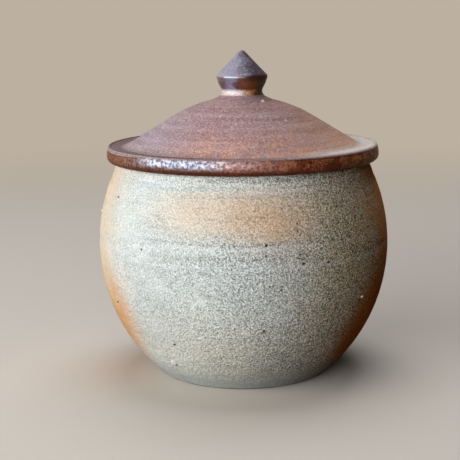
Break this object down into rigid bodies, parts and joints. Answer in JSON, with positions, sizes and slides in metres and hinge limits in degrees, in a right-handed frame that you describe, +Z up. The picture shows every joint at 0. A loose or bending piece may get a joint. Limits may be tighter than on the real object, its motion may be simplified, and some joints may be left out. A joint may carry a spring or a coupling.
{
  "type": "lidded salt pot",
  "caption": "Round thrown stoneware salt pot with a wide mouth, a loose domed lid that overhangs the rim, and a pointed knob to lift it by.",
  "frame": {"origin": "centre of the base, on the surface that the pot stands on", "axes": "+Z up along the axis on which the pot, lid and knob were turned; -Y faces the pictured side"},
  "size_m": [0.11, 0.11, 0.1207],
  "materials": {
    "pot_clay": "unglazed coarse stoneware, matte, ash-grey with peach flashing",
    "lid_clay": "unglazed stoneware fired red-brown, matte dome, satin flange",
    "knob_clay": "unglazed stoneware fired dark purple-brown, satin edges"
  },
  "bodies": {
    "pot": {"pot": "pot_clay"},
    "lid": {"lid": "lid_clay", "lid_knob": "knob_clay"}
  },
  "joints": [
    {"name": "lid_lift", "type": "slide", "parent": "pot", "child": "lid", "axis": [0, 0, 1], "range_m": [0, 0.05]}
  ]
}
